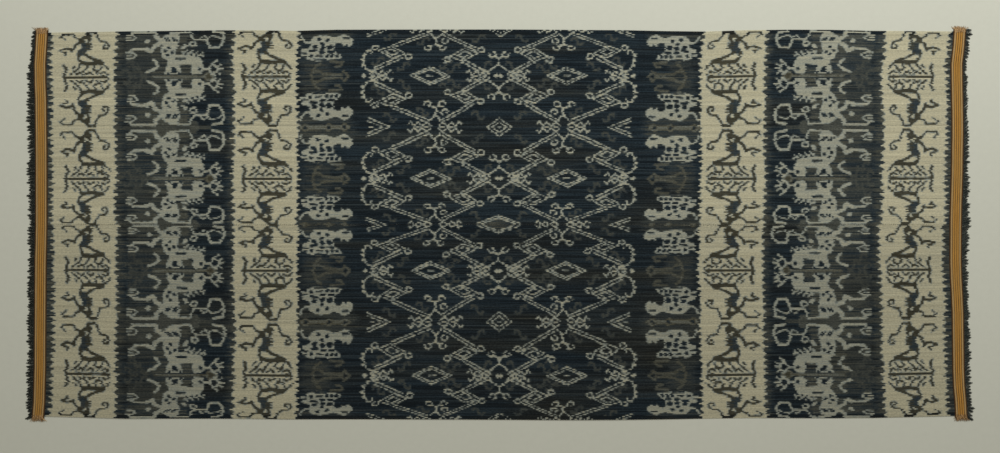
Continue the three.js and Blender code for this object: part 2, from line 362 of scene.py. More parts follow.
def sprig(along, foot, top):
    """A stalk that ends in two open rings."""
    rise = 1 if top > foot else -1
    rings = [
        curl(FROST, THIN, along + 4.5 * way, top + 2.5 * rise, 2, 90 - 110 * way, 290 * way)
        for way in (-1, 1)
    ]
    return [
        line(FROST, FIRM, (along, foot), (along - 0.5, (foot + top) / 2), (along, top)),
        *(line(FROST, THIN, (along, top), (along + 2.5 * way, top + rise)) for way in (-1, 1)),
        *rings,
    ]


def smudge(along, across):
    """A faint scroll that was dyed over after it was tied."""
    path = ((-3.5, -1), (-3, -2.5), (-0.5, -2), (0, 0), (0.5, 2), (3, 2.5), (3.5, 1))
    return [line(ASH, BROAD, *((along + a, across + b) for a, b in path))]


def knotted_lattice():
    """Chart of the middle field, from the cloth's middle outwards: bars, knots, sprigs and diamonds."""
    hub, edge, tree = 40, 84, FEET_TO_TREE
    smudges = ((59.5, 26.5), (28, 27.5), (75.5, 23), (48, 9.5), (68.5, 6), (13.5, 7.5), (8.5, 26), (33, 25))
    return [
        *(mark for place in smudges for mark in smudge(*place)),
        # Diamonds on the feet line, on the tree line and at the field's edge
        lozenge(FROST, HAIR, 0, 0, 8, 6),
        lozenge(FROST, HAIR, 0, 0, 5, 3.5),
        line(FROST, HAIR, (-1.5, 0), (1.5, 0)),
        lozenge(FROST, HAIR, 42.5, tree, 12.5, 5.5),
        lozenge(FROST, HAIR, 42.5, tree, 9.5, 4),
        line(FROST, HAIR, (40.5, tree), (44.5, tree)),
        line(FROST, HAIR, (68, 0), (82.5, 6)),
        line(FROST, HAIR, (72.5, 0), (82.5, 4)),
        line(FROST, HAIR, (78.5, 0), (81, 0)),
        # Hub on the feet line with its twigs, sprig and hook
        *twig(hub + 3.5, 1, 0),
        *twig(hub - 3.5, -1, 0),
        *sprig(hub, 7.5, 12),
        *(line(FROST, THIN, (hub, 8), (hub + 3.5 * way, 4)) for way in (-1, 1)),
        curl(FROST, THIN, 34.5, 9.5, 2, 210, -290),
        # Bars and knots on either side of the hub
        *bar((44.5, 3.5), (67, 13)),
        *bar((60.5, 20), (78, 28)),
        *knot(67, 17, 1),
        *bar((35.5, 4), (15, 15.5)),
        *bar((23, 22.5), (7.5, 30.5)),
        *knot(22, 19, -1),
        # Crossings on the tree line, the sprig between them and the beaded bow at the field's edge
        *twig(edge - 4.5, -1, tree),
        *twig(6.5, 1, tree),
        *bar((79.5, 30.5), (76, 28.5)),
        patch(FROST, (edge - 2, tree), (edge, tree - 1.5), (edge + 2, tree), (edge, tree + 1.5)),
        patch(FROST, (-1, tree), (1, tree - 1.5), (3, tree), (1, tree + 1.5)),
        line(FROST, THIN, (6.5, 29.5), (0, 25)),
        *sprig(0, 25, 21.5),
        line(FROST, THIN, (79.5, 29), (82.5, 28), (84.5, 24), (84.5, 20), (82.5, 16), (80, 16), (79.5, 18)),
        spots(FROST, 0.9, (85, 25.5), (85.5, 22), (85, 19)),
    ]


def seam_diamond():
    """Chart of the wide diamond that the two panels share, with its rows counted from the seam."""
    return [
        patch(INK, (-11, -1), (11, -1), (11, 6), (-11, 6)),
        haze(SLATE, 2, (-9, 0), (0, 3), (9, 0), (0, -3)),
        lozenge(FROST, HAIR, 0, 0, 14, 5),
        lozenge(FROST, HAIR, 0, 0, 10.5, 3.5),
    ]


def line_cover(mark, along, across):
    """How far each place lies inside a stroke, in steps."""
    nearest = np.full(along.shape, np.inf)
    for (a, b), (c, d) in zip(mark.points, mark.points[1:]):
        run, rise = c - a, d - b
        share = ((along - a) * run + (across - b) * rise) / (run * run + rise * rise)
        share = np.clip(share, 0, 1)
        nearest = np.minimum(nearest, np.hypot(along - a - share * run, across - b - share * rise))
    return mark.size / 2 - nearest


def patch_cover(mark, along, across):
    """How far each place lies inside an outline, in steps."""
    closed = (*mark.points, mark.points[0])
    inside = np.zeros(along.shape, bool)
    for (a, b), (c, d) in zip(closed, closed[1:]):
        if b != d:
            crosses = ((b > across) != (d > across)) & (along < a + (across - b) * (c - a) / (d - b))
            inside ^= crosses
    to_rim = -line_cover(Mark("line", mark.tone, 0, closed), along, across)
    return np.where(inside, to_rim, -to_rim)


def spots_cover(mark, along, across):
    """How far each place lies inside the nearest of some spots, in steps."""
    return np.max([mark.size - np.hypot(along - a, across - b) for a, b in mark.points], axis=0)


COVERS = {"line": line_cover, "patch": patch_cover, "spots": spots_cover}


def chart_rows(off_feet, plan):
    """The chart's row at each place across a panel: folded at the trees, and drawn in towards both edges."""
    edge = np.abs(off_feet).max()
    half = FEET_TO_TREE / 2
    below, above = plan.tree_below, plan.tree_above
    places = (-edge, -below - half, -below, 0, above, above + half, edge)
    rows = (EDGE_ROW, half, FEET_TO_TREE, 0, FEET_TO_TREE, half, EDGE_ROW)
    return np.interp(off_feet, places, rows)


class DyedWarp:
    """The dye on a panel's warp, and its shade with the lower panel's painted shade, on a grid of bundles by
    places along them.
    """

    def __init__(self, along, off_feet, plan):
        bundle_slip, bundle_depth, bundle_shade, mean_uptake = 0.25, 0.03, 0.09, 0.7
        self.random = np.random.default_rng(plan.seed)
        self.shape = (len(off_feet), len(along))
        self.off_feet = off_feet
        slip = self.each_bundle(bundle_slip) + self.uneven(SLIP)
        self.along = np.abs(along)[None, :] + slip + self.uneven(SWAY)
        self.drift = self.uneven(DRIFT)
        self.ragged = self.uneven(RAGGED)
        self.uptake = np.clip(mean_uptake + self.uneven(UPTAKE), 0, 1)
        self.across = chart_rows(off_feet[:, None] + self.uneven(WANDER), plan)
        from_seam = plan.side * off_feet
        self.off_seam = np.broadcast_to((from_seam - from_seam.min())[:, None], self.shape)
        self.depth = INK.depth + self.uneven(DYE_DEPTH) + self.each_bundle(bundle_depth)
        self.brown = INK.brown + np.maximum(self.uneven(RUST), 0)
        self.brown = self.brown + self.uneven(STREAK)
        # the cotton's own uneven tone, on top of the panel's shade, which is painted shade on the lower
        # panel
        self.shade = plan.shade + self.each_bundle(bundle_shade) + self.uneven(COTTON_SHADE)

    def uneven(self, kind):
        """One kind of unevenness, over the whole grid."""
        return kind.amount * soft_noise(self.random, self.shape, kind.grain)

    def each_bundle(self, amount):
        """A chance difference of each bundle as a whole."""
        return amount * self.random.standard_normal((self.shape[0], 1))

    def serrated(self, edge, way):
        """A band's edge at each bundle: slow bulges, and round lumps of dye with narrow slits between."""
        crowding, roundness, smallest, largest = 0.15, 0.7, 0.7, 1.3
        crowded = crowding * soft_noise(self.random, (self.shape[0], 1), (8, 1))[:, 0]
        row = self.off_feet / edge.pitch + crowded
        lump = 2 * np.abs(np.cos(np.pi * row)) ** roundness - 1
        tooth = np.floor(row + 0.5).astype(int)
        tooth = tooth - tooth.min()
        swell = self.random.uniform(smallest, largest, tooth.max() + 1)[tooth]
        bulge = self.uneven(BULGE) + self.uneven(NOTCH)
        return edge.place + way * edge.length * (lump * swell)[:, None] + bulge

    def lay(self, tone, share, columns=slice(None)):
        """Sets a tone over the dye that is there, by its share at each place."""
        self.depth[:, columns] += share * (tone.depth - self.depth[:, columns])
        self.brown[:, columns] += share * (tone.brown - self.brown[:, columns])

    def lay_band(self, band):
        """Leaves the ground of a light band undyed, between its two serrated edges."""
        outer, inner = self.serrated(band.outer, -1), self.serrated(band.inner, 1)
        inside = np.minimum(outer - self.along, self.along - inner)
        self.lay(PALE, np.clip(0.5 + inside / FEATHER, 0, 1))

    def lay_chart(self, marks, start, way, stretch=1.0, rows=None):
        """Ties a chart that starts at a place along the cloth and runs outwards or inwards."""
        along = way * (self.along - start) / stretch
        rows = self.across if rows is None else rows
        for mark in marks:
            columns = self.columns_near(mark, along)
            across = rows[:, columns]
            if mark.kind == "haze":
                place = along[:, columns] + mark.size * self.drift[:, columns]
                share = np.clip(0.5 + patch_cover(mark, place, across) / mark.size, 0, 1)
                self.lay(mark.tone, share * self.uptake[:, columns], columns)
            else:
                cover = COVERS[mark.kind](mark, along[:, columns], across) + self.ragged[:, columns]
                self.lay(mark.tone, np.clip(0.5 + cover / FEATHER, 0, 1), columns)

    def columns_near(self, mark, along):
        """The columns that a mark can reach."""
        margin = mark.size + SLIP_MARGIN
        low = min(a for a, b in mark.points) - margin
        high = max(a for a, b in mark.points) + margin
        return np.flatnonzero((along.max(0) > low) & (along.min(0) < high))

    def darken_selvedge(self, side):
        """Lets the outermost bundles of the dark bands take all the dye."""
        half_dyed = 0.5
        selvedge = slice(-SELVEDGE_BUNDLES, None) if side > 0 else slice(0, SELVEDGE_BUNDLES)
        dark = self.depth[selvedge] > half_dyed
        self.depth[selvedge] = np.where(dark, 1.0, self.depth[selvedge])


def soft_noise(random, shape, grain):
    """Smooth noise from -1 to 1 over a grid, with its grain in rows and columns."""
    knots = random.uniform(-1, 1, [int(size / step) + 2 for size, step in zip(shape, grain)])
    rows = np.arange(shape[0]) / grain[0]
    columns = np.arange(shape[1]) / grain[1]
    spread = np.array([np.interp(columns, np.arange(knots.shape[1]), row) for row in knots])
    low = np.floor(rows).astype(int)
    share = (rows - low)[:, None]
    return spread[low] * (1 - share) + spread[low + 1] * share


def dyed_panel(length, width, plan):
    """The whole design of one panel, in the order that its tones are tied."""
    along = (np.arange(TIES + 1) / TIES - 0.5) * length / STEP
    off_feet = ((np.arange(BUNDLES) + 0.5) / BUNDLES - 0.5) * width / STEP
    warp = DyedWarp(along, off_feet, plan)
    warp.lay_chart(dark_end(), LIGHT_BANDS[0].outer.place, -1)
    warp.lay_chart(clawed_beast(), DARK_BAND_START, -1)
    warp.lay_chart(spotted_animal(), SPOTTED_START, -1)
    warp.lay_chart(knotted_lattice(), 0, 1)
    warp.lay_chart(seam_diamond(), 0, 1, rows=warp.off_seam)
    for band in LIGHT_BANDS:
        warp.lay_band(band)
        warp.lay_chart(animal_and_tree(), band.start, -1, band.stretch)
    warp.darken_selvedge(plan.side)
    return warp


def node_points(name):
    """The places of a CAD node's corners, each once."""
    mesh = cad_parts[name].data
    return np.unique(mesh_array(mesh.vertices, "co", 3).astype(float).round(6), axis=0)


def stations(points):
    """For each place across the cloth where points lie, that place and the lowest and highest x there."""
    digits, same = 4, 1e-4
    rows = np.unique(points[:, 1].round(digits))
    ends = [points[np.abs(points[:, 1] - row) < same, 0] for row in rows]
    return rows, np.array([x.min() for x in ends]), np.array([x.max() for x in ends])


class PanelOutline:
    """The seam, selvedge and two ends of a CAD panel."""

    def __init__(self, name):
        points = node_points(name)
        points = points[np.argsort(points[:, 0])]
        off_seam = np.abs(points[:, 1])
        seam_zone, selvedge_zone = 0.01, 0.52
        self.seam = points[off_seam < seam_zone]
        self.selvedge = points[off_seam > selvedge_zone]
        rows, left, right = stations(points[(off_seam >= seam_zone) & (off_seam <= selvedge_zone)])
        self.ends = []
        for x, corner in ((left, 0), (right, -1)):
            corners = [(chain[corner, 1], chain[corner, 0]) for chain in (self.seam, self.selvedge)]
            self.ends.append(np.transpose(sorted([*zip(rows, x), *corners])))

    def place(self, along, across):
        """Where a share along the cloth, and a share from seam to selvedge, lie in the frame."""
        begin, end = self.seam[0, 0], self.seam[-1, 0]
        y = self.height(begin + along * (end - begin), across)
        left, right = (np.interp(y, *chain) for chain in self.ends)
        x = left * (1 - along) + right * along
        return x, self.height(x, across)

    def height(self, x, across):
        """The place across the cloth for a share from seam to selvedge."""
        seam, selvedge = (np.interp(x, chain[:, 0], chain[:, 1]) for chain in (self.seam, self.selvedge))
        return seam + across * (selvedge - seam)


def unit_slab(name, columns, rows):
    """A closed flat slab one wide and one deep: a grid on top, plain sides and one face below."""
    slab = bmesh.new()
    bmesh.ops.create_grid(slab, x_segments=columns, y_segments=rows, size=0.5)
    rim = [edge for edge in slab.edges if edge.is_boundary]
    sides = bmesh.ops.extrude_edge_only(slab, edges=rim)["geom"]
    lower = [part for part in sides if isinstance(part, bmesh.types.BMVert)]
    bmesh.ops.translate(slab, verts=lower, vec=(0, 0, -1))
    bmesh.ops.holes_fill(slab, edges=[edge for edge in slab.edges if edge.is_boundary], sides=0)
    bmesh.ops.recalc_face_normals(slab, faces=slab.faces)
    mesh = bpy.data.meshes.new(name)
    slab.to_mesh(mesh)
    slab.free()
    return mesh


def mesh_array(items, name, width=1, kind=np.float32):
    """One attribute of a mesh's parts as an array."""
    found = np.empty(len(items) * width, kind)
    items.foreach_get(name, found)
    return found.reshape(-1, width) if width > 1 else found


def move_corners(mesh, *places):
    """Puts the corners of a mesh at new x, y and z."""
    mesh.vertices.foreach_set("co", np.stack(places, -1).astype(np.float32).ravel())
    mesh.update()


def new_piece(name, mesh, finish, slot, *nodes):
    """Puts a mesh in the scene as a piece of the cloth that stands for some CAD nodes."""
    piece = bpy.data.objects.new(name, mesh)
    bpy.context.scene.collection.objects.link(piece)
    mesh.materials.append(finish.material)
    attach(piece, "root")
    if nodes:
        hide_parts(*nodes)
    return piece


class Wire:
    """A shader socket that takes part in Python sums, each of which adds a Math node."""

    def __init__(self, finish, socket):
        self.finish = finish
        self.socket = socket

    def sum(self, operation, first, second):
        """The result of one Math node."""
        return self.finish.node("ShaderNodeMath", {"operation": operation}, {0: first, 1: second})

    def __add__(self, other):
        return self.sum("ADD", self, other)

    def __sub__(self, other):
        return self.sum("SUBTRACT", self, other)

    def __mul__(self, other):
        return self.sum("MULTIPLY", self, other)

    __radd__ = __add__
    __rmul__ = __mul__

    def sway(self, amount):
        """Noise from 0 to 1 as an unevenness on both sides of nothing."""
        return (self - 0.5) * amount


class Finish:
    """A material, and the few ways in which its nodes are made."""

    specular = 0.1
    sheen_roughness = 0.6

    def __init__(self, name, roughness, sheen):
        self.material = bpy.data.materials.new(name)
        self.material.use_nodes = True
        self.tree = self.material.node_tree
        self.shader = self.tree.nodes["Principled BSDF"]
        self.shader.inputs["Roughness"].default_value = roughness
        self.shader.inputs["Specular IOR Level"].default_value = self.specular
        self.shader.inputs["Sheen Weight"].default_value = sheen
        self.shader.inputs["Sheen Roughness"].default_value = self.sheen_roughness
        self.place = self.node("ShaderNodeTexCoord", output="Object")

    def node(self, kind, settings=None, inputs=None, output=0):
        """Adds a node: its settings first, then the values or wires of its sockets."""
        made = self.tree.nodes.new(kind)
        for name, value in (settings or {}).items():
            if name == "stops":
                self.set_stops(made.color_ramp, value)
            else:
                setattr(made, name, value)
        for socket, value in (inputs or {}).items():
            self.plug(made.inputs[socket], value)
        return Wire(self, made.outputs[output])

    def set_stops(self, ramp, stops):
        """Sets the places and colours of a colour ramp."""
        while len(ramp.elements) < len(stops):
            ramp.elements.new(1.0)
        for element, (place, colour) in zip(ramp.elements, stops):
            element.position = place
            element.color = (*colour[:3], 1.0)

    def plug(self, socket, value):
        """Joins a wire to a socket, or sets the socket's own value."""
        if isinstance(value, Wire):
            self.tree.links.new(value.socket, socket)
        else:
            socket.default_value = value

    def noise(self, scale, detail=2.0):
        """Noise that is drawn out or drawn in along each axis."""
        place = self.node("ShaderNodeMapping", inputs={"Vector": self.place, "Scale": scale})
        return self.node("ShaderNodeTexNoise", inputs={"Vector": place, "Scale": 1.0, "Detail": detail})

    def attribute(self, name, output="Fac"):
        return self.node("ShaderNodeAttribute", {"attribute_name": name}, output=output)

    def ramp(self, value, stops):
        return self.node("ShaderNodeValToRGB", {"stops": stops}, {0: value})

    def mix(self, share, first, second):
        return self.node("ShaderNodeMix", {"data_type": "RGBA"}, {0: share, 6: first, 7: second}, 2)

    def brighten(self, colour, factor):
        return self.node("ShaderNodeVectorMath", {"operation": "SCALE"}, {0: colour, "Scale": factor})

    def wear(self, colour, height, depth):
        """Joins a colour and a raised grain to the shader."""
        self.plug(self.shader.inputs["Base Color"], colour)
        bump = self.node("ShaderNodeBump", inputs={"Strength": 1.0, "Distance": depth, "Height": height})
        self.plug(self.shader.inputs["Normal"], bump)


def dye_colour(red, green, blue):
    """A colour as seen, from 0 to 255, as the linear colour that shaders take."""
    shares = np.array((red, green, blue)) / 255
    return tuple(np.where(shares <= 0.04045, shares / 12.92, ((shares + 0.055) / 1.055) ** 2.4).tolist())


def colour_property(name, description, *seen):
    """A colour that a user may change, given as it is seen."""
    return bpy.props.FloatVectorProperty(
        name=name, description=description, subtype="COLOR", size=3, min=0, max=1, default=dye_colour(*seen),
    )


def length_property(name, description, default):
    """A length that a user may change, in metres."""
    return bpy.props.FloatProperty(
        name=name, description=description, default=default, unit="LENGTH", precision=5,
    )


class PanelSettings(bpy.types.PropertyGroup):
    """Sizes and colours of the woven panels."""

    top: length_property("Top", "Height of the cloth's face above the surface that it lies on", 0.0014)
    ripple: length_property("Ripple", "Height of the slow waves in the cloth as it lies", 0.0005)
    pucker: length_property("Pucker", "Height of the small puckers along the seam", 0.0005)
    undyed: colour_property("Undyed", "Cotton that was tied against all the dye", 190, 183, 153)
    light_dip: colour_property("Light dip", "Cotton that a little dye crept into", 130, 136, 129)
    grey_dip: colour_property("Grey dip", "Cotton dyed once", 74, 76, 69)
    blue_dip: colour_property("Blue dip", "Cotton dyed a few times", 40, 52, 59)
    deep_dip: colour_property("Deep dip", "Cotton dyed many times", 16, 25, 31)
    brown_dip: colour_property("Brown dip", "Cotton dyed blue and then brown", 82, 77, 57)
    black_dip: colour_property("Black dip", "Cotton dyed deep blue and then brown", 34, 33, 26)


class BandSettings(bpy.types.PropertyGroup):
    """Sizes and colours of the end bands."""

    ribs: bpy.props.IntProperty(name="Ribs", description="Weft ribs across a band", default=12, min=6)
    # spill: how far the strip, and the dark edge colour on it, reaches past the woven edge
    spill: length_property("Spill", "How far the edge yarns lie past the woven edge", 0.003)
    rib_height: length_property("Rib height", "How far a cord stands above the valleys beside it", 0.0007)
    frayed: bpy.props.IntProperty(
        name="Frayed yarns", description="Yarns at each end of a band", default=110, min=1,
    )
    ochre: colour_property("Ochre", "Outer cords of the bands", 172, 142, 96)
    orange: colour_property("Orange", "Main cords of the bands", 178, 131, 62)
    olive: colour_property("Olive", "Faded yarn of the bands", 148, 120, 72)
    umber: colour_property("Umber", "Lines between the cords", 84, 54, 22)
    # the dark colour along both edges of the bands, over the spill as well
    edge: colour_property("Edge", "Yarn along both edges of the bands", 58, 44, 28)
    # the palest loose yarn: partly the yarn's own pale tone, partly painted highlight on the frayed tips
    frayed_end_and_highlight: colour_property("Frayed end", "Loose yarn at the ends of the bands", 208, 172, 124)


class FringeSettings(bpy.types.PropertyGroup):
    """Sizes and colours of the fringes."""

    per_lock: bpy.props.IntProperty(name="Yarns", description="Warp ends in each lock", default=28, min=1)
    yarn: length_property("Yarn", "Thickness of a warp end", 0.0010)
    dark: colour_property("Dark", "Darkest warp ends", 25, 30, 30)
    faded: colour_property("Faded", "Palest warp ends", 72, 76, 70)


class SeamSettings(bpy.types.PropertyGroup):
    """Sizes and colours of the stitches that join the panels."""

    pitch: length_property("Pitch", "Distance from stitch to stitch", 0.0058)
    reach: length_property("Reach", "How far a stitch reaches into each panel", 0.0024)
    thread: length_property("Thread", "Thickness of the thread", 0.0006)
    dark: colour_property("Dark", "Darkest of the thread", 52, 50, 47)
    faded: colour_property("Faded", "Palest of the thread", 84, 81, 75)


class StageSettings(bpy.types.PropertyGroup):
    """The floor, the light and the camera."""

    floor: colour_property("Floor", "Colour of the floor", 206, 206, 192)
    view_width: length_property("View width", "Width of floor that the picture takes in", 2.8)
    camera_height: length_property("Camera height", "Height of the camera above the floor", 5.0)
    view_shift: length_property("View shift", "How far the picture's middle lies below the cloth's", 0.005)
    key_power: bpy.props.FloatProperty(
        name="Key light", description="Power of the large lamp", default=80, unit="POWER",
    )
    fill: bpy.props.FloatProperty(
        name="Fill", description="Strength of the light from all round", default=0.34,
    )


def ikat_finish(settings):
    """Matt handspun cotton, dyed thread by thread as the warp's own dye says, and darkened on the lower
    panel by painted shade.
    """
    finish = Finish("ikat_cotton", roughness=0.95, sheen=0.03)
    dye = finish.attribute("dye", "Color")
    parts = finish.node("ShaderNodeSeparateColor", inputs={0: dye})
    outputs = parts.socket.node.outputs
    depth, brown, shade = (Wire(finish, outputs[name]) for name in ("Red", "Green", "Blue"))
    thread = finish.noise((16, 1300, 1))
    bundle = finish.noise((9, 300, 1))
    cloud = finish.noise((2.4, 7, 1), 4.0)
    slub = finish.noise((170, 330, 1))
    soaked = depth + thread.sway(0.3) + bundle.sway(0.36) + cloud.sway(0.14) - slub.sway(0.2)
    blue = finish.ramp(soaked, [
        (0.0, settings.undyed), (0.4, settings.light_dip), (0.64, settings.grey_dip),
        (0.82, settings.blue_dip), (1.0, settings.deep_dip),
    ])
    overdyed = finish.ramp(soaked, [
        (0.0, settings.undyed), (0.45, settings.light_dip), (0.7, settings.brown_dip),
        (1.0, settings.black_dip),
    ])
    colour = finish.mix(brown + cloud.sway(0.6) + bundle.sway(0.5), blue, overdyed)
    # brightness from the shade channel: the cotton's own tone, and the lower panel's painted shade
    colour = finish.brighten(colour, 0.68 + 0.56 * shade + bundle.sway(0.3) + slub.sway(0.6))
    pick = finish.noise((700, 90, 1))
    finish.wear(colour, thread * 0.6 + pick * 0.4, 0.0005)
    return finish


class IKAT_OT_panels(bpy.types.Operator):
    """Lay out the two dyed panels on either side of the seam"""

    bl_idname = "ikat.panels"
    bl_label = "Woven panels"

    def execute(self, context):
        crease = 0.8
        settings = context.scene.ikat_panels
        finish = ikat_finish(settings)
        for name, plan in PANELS.items():
            low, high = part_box(name)
            mesh = unit_slab(f"cloth_{name}", TIES, BUNDLES)
            unit = mesh_array(mesh.vertices, "co", 3).astype(float)
            self.dye(mesh, unit, dyed_panel(high.x - low.x, high.y - low.y, plan))
            self.unfold(mesh, unit)
            x, y = PanelOutline(name).place(unit[:, 0] + 0.5, 0.5 + plan.side * unit[:, 1])
            z = np.where(unit[:, 2] < -0.5, UNDERSIDE, self.lie(x, y, settings))
            mesh.set_sharp_from_angle(angle=crease)
            move_corners(mesh, x, y, z)
            piece = new_piece(f"cloth_{name}", mesh, finish, "ikat_cloth", name)
        return {"FINISHED"}

    def lie(self, x, y, settings):
        """Height of the face: slow waves as the cloth lies, and puckers that die away from the seam."""
        waves_along, waves_across, puckers, pucker_reach = 9, 11, 150, 0.022
        wave = np.sin(waves_along * x + 2 * np.sin(5 * y)) * np.sin(waves_across * y + 1.7 * np.sin(4 * x))
        pucker = np.sin(puckers * x + 9 * np.sin(7 * x)) * np.exp(-np.abs(y) / pucker_reach)
        return settings.top + settings.ripple * wave + settings.pucker * pucker

    def dye(self, mesh, unit, warp):
        """Sets the dye and the shade at every corner: even across a bundle, and fading along it. The shade
        holds the lower panel's painted shade.
        """
        count = mesh_array(mesh.polygons, "loop_total", kind=np.int32)
        centre = mesh_array(mesh.polygons, "center", 3)
        corner = mesh_array(mesh.loops, "vertex_index", kind=np.int32)
        row = np.clip(((centre[:, 1] + 0.5) * BUNDLES).astype(int), 0, BUNDLES - 1)
        row = np.repeat(row, count)
        column = np.rint((unit[corner, 0] + 0.5) * TIES).astype(int)
        colour = np.ones((len(corner), 4), np.float32)
        for channel, layer in enumerate((warp.depth, warp.brown, warp.shade)):
            colour[:, channel] = np.clip(layer[row, column], 0, 1)
        mesh.color_attributes.new("dye", "FLOAT_COLOR", "CORNER").data.foreach_set("color", colour.ravel())

    def unfold(self, mesh, unit):
        """Maps the face in two halves, one above the other, its rim around them and the back in a strip."""
        border, rim, rim_place = 0.005, 0.004, 0.4999
        half_pitch, half_height, strip_low, strip_height = 0.48, 0.46, 0.955, 0.04
        count = mesh_array(mesh.polygons, "loop_total", kind=np.int32)
        right = np.repeat(mesh_array(mesh.polygons, "center", 3)[:, 0] > 0, count)
        back = np.repeat(count > 4, count)
        corner = unit[mesh_array(mesh.loops, "vertex_index", kind=np.int32)]
        lower = corner[:, 2] < -0.5
        along, across = corner[:, 0] + 0.5, corner[:, 1] + 0.5
        away = np.where(np.abs(corner[:, :2]) > rim_place, np.sign(corner[:, :2]), 0)
        outward = rim * (lower & ~back)[:, None] * away
        halves = np.stack([2 * along - right, half_pitch * right + half_height * across], -1)
        face = halves * (1 - 2 * border) + border + outward
        strip = np.stack([border + (1 - 2 * border) * along, strip_low + strip_height * across], -1)
        places = np.where(back[:, None], strip, face).astype(np.float32)
        mesh.uv_layers.new(name="OFBake").uv.foreach_set("vector", places.ravel())


def band_stripes(settings):
    """Colour stops across a band: dark edges one rib wide, and cords of two ribs with dark lines between."""
    line_share, soft = 0.3, 0.008
    rib = 1 / settings.ribs
    cords = settings.ribs // 2 - 1
    stops = [(0.0, settings.edge)]
    for index in range(cords):
        colour = settings.ochre if index in (0, cords - 1) else settings.orange
        begin = rib * (1 + 2 * index + line_share)
        end = rib * (3 + 2 * index - line_share)
        stops.extend([(begin - soft, settings.umber), (begin + soft, colour)])
        stops.extend([(end - soft, colour), (end + soft, settings.umber)])
    return [*stops, (1.0, settings.edge)]


def band_finish(settings):
    """Packed weft yarn in narrow stripes, each rib twisted and unevenly dyed, with darker edges."""
    finish = Finish("band_yarn", roughness=0.9, sheen=0.05)
    twist = finish.noise((260, 700, 1))
    streak = finish.noise((420, 30, 1))
    fade = finish.noise((8, 9, 1), 3.0)
    rib = finish.attribute("rib")
    middle = finish.ramp(rib, [(0.1, (0, 0, 0)), (0.16, (1, 1, 1)), (0.84, (1, 1, 1)), (0.9, (0, 0, 0))])
    colour = finish.ramp(rib + streak.sway(0.02), band_stripes(settings))
    colour = finish.mix((fade * 1.8 - 0.7) * 0.6 * middle, colour, (*settings.olive, 1.0))
    colour = finish.brighten(colour, 0.55 + 0.45 * twist + 0.45 * streak)
    finish.wear(colour, twist, 0.0006)
    return finish


class IKAT_OT_bands(bpy.types.Operator):
    """Weave the ribbed band across each end of the cloth, and fray its ends"""

    bl_idname = "ikat.bands"
    bl_label = "End bands"

    def execute(self, context):
        settings = context.scene.ikat_bands
        finish = band_finish(settings)
        for end in ENDS:
            node = f"band_{end}"
            piece = new_piece(f"woven_{node}", self.band_mesh(node, settings), finish, "band_yarn", node)
        # loose yarns run from umber to the pale frayed-end colour, which is partly painted highlight
        yarn = yarn_finish("frayed_yarn", settings.umber, settings.frayed_end_and_highlight)
        mesh = joined_tubes("frayed_yarns", *self.frayed_paths(settings), radius=FRAYED_RADIUS)
        new_piece("frayed_yarns", mesh, yarn, "band_yarn")
        return {"FINISHED"}

    def band_mesh(self, node, settings):
        """A band as a closed strip on the CAD band's line, with rounded ribs on its face."""
        steps_in_rib, rows, crease = 6, 360, 1.2
        twist_height, twists_along, twists_across = 0.00012, 1500, 90
        mesh = unit_slab(f"woven_{node}", settings.ribs * steps_in_rib, rows)
        unit = mesh_array(mesh.vertices, "co", 3).astype(float)
        across = unit[:, 0] + 0.5
        stops, inner, outer = stations(node_points(node))
        y = stops[0] + (unit[:, 1] + 0.5) * (stops[-1] - stops[0])
        low = np.interp(y, stops, inner) - settings.spill
        high = np.interp(y, stops, outer) + settings.spill
        rib = np.sqrt(np.abs(np.sin(np.pi * settings.ribs * across)))
        twist = twist_height * np.sin(y * twists_along + across * twists_across)
        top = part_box(node)[1].z - settings.rib_height * (1 - rib) + twist
        layer = mesh.attributes.new("rib", "FLOAT", "POINT")
        layer.data.foreach_set("value", across.astype(np.float32))
        mesh.set_sharp_from_angle(angle=crease)
        move_corners(mesh, low + across * (high - low), y, np.where(unit[:, 2] < -0.5, UNDERSIDE, top))
        return mesh

    def frayed_paths(self, settings):
        """Short yarns that fan out past the four ends of the bands, with a shade for each."""
        seed, shortest, longest, margin = 41, 0.002, 0.010, 0.03
        top, drop, arch, splay, tangle = 0.0028, 0.0018, 0.0008, 0.6, 0.4
        random = np.random.default_rng(seed)
        share = np.linspace(0, 1, 5)[None, :]
        paths = []
        for end in ENDS:
            stops, inner, outer = stations(node_points(f"band_{end}"))
            for corner, way in ((0, -1), (-1, 1)):
                across = random.uniform(margin, 1 - margin, settings.frayed)[:, None]
                on_band = random.uniform(shortest, longest, settings.frayed)[:, None]
                length = on_band + random.uniform(shortest, longest, settings.frayed)[:, None]
                fan = length * (splay * (across - 0.5) + tangle * random.standard_normal(across.shape))
                x = inner[corner] + across * (outer[corner] - inner[corner]) + fan * share**1.5
                y = stops[corner] + way * (length * share - on_band)
                rise = arch * random.random(across.shape) * np.sin(np.pi * share * 0.8)
                z = top - drop * share + rise
                paths.append(np.stack([x, y, z], -1))
        paths = np.concatenate(paths)
        return paths, random.uniform(0, 1, len(paths))


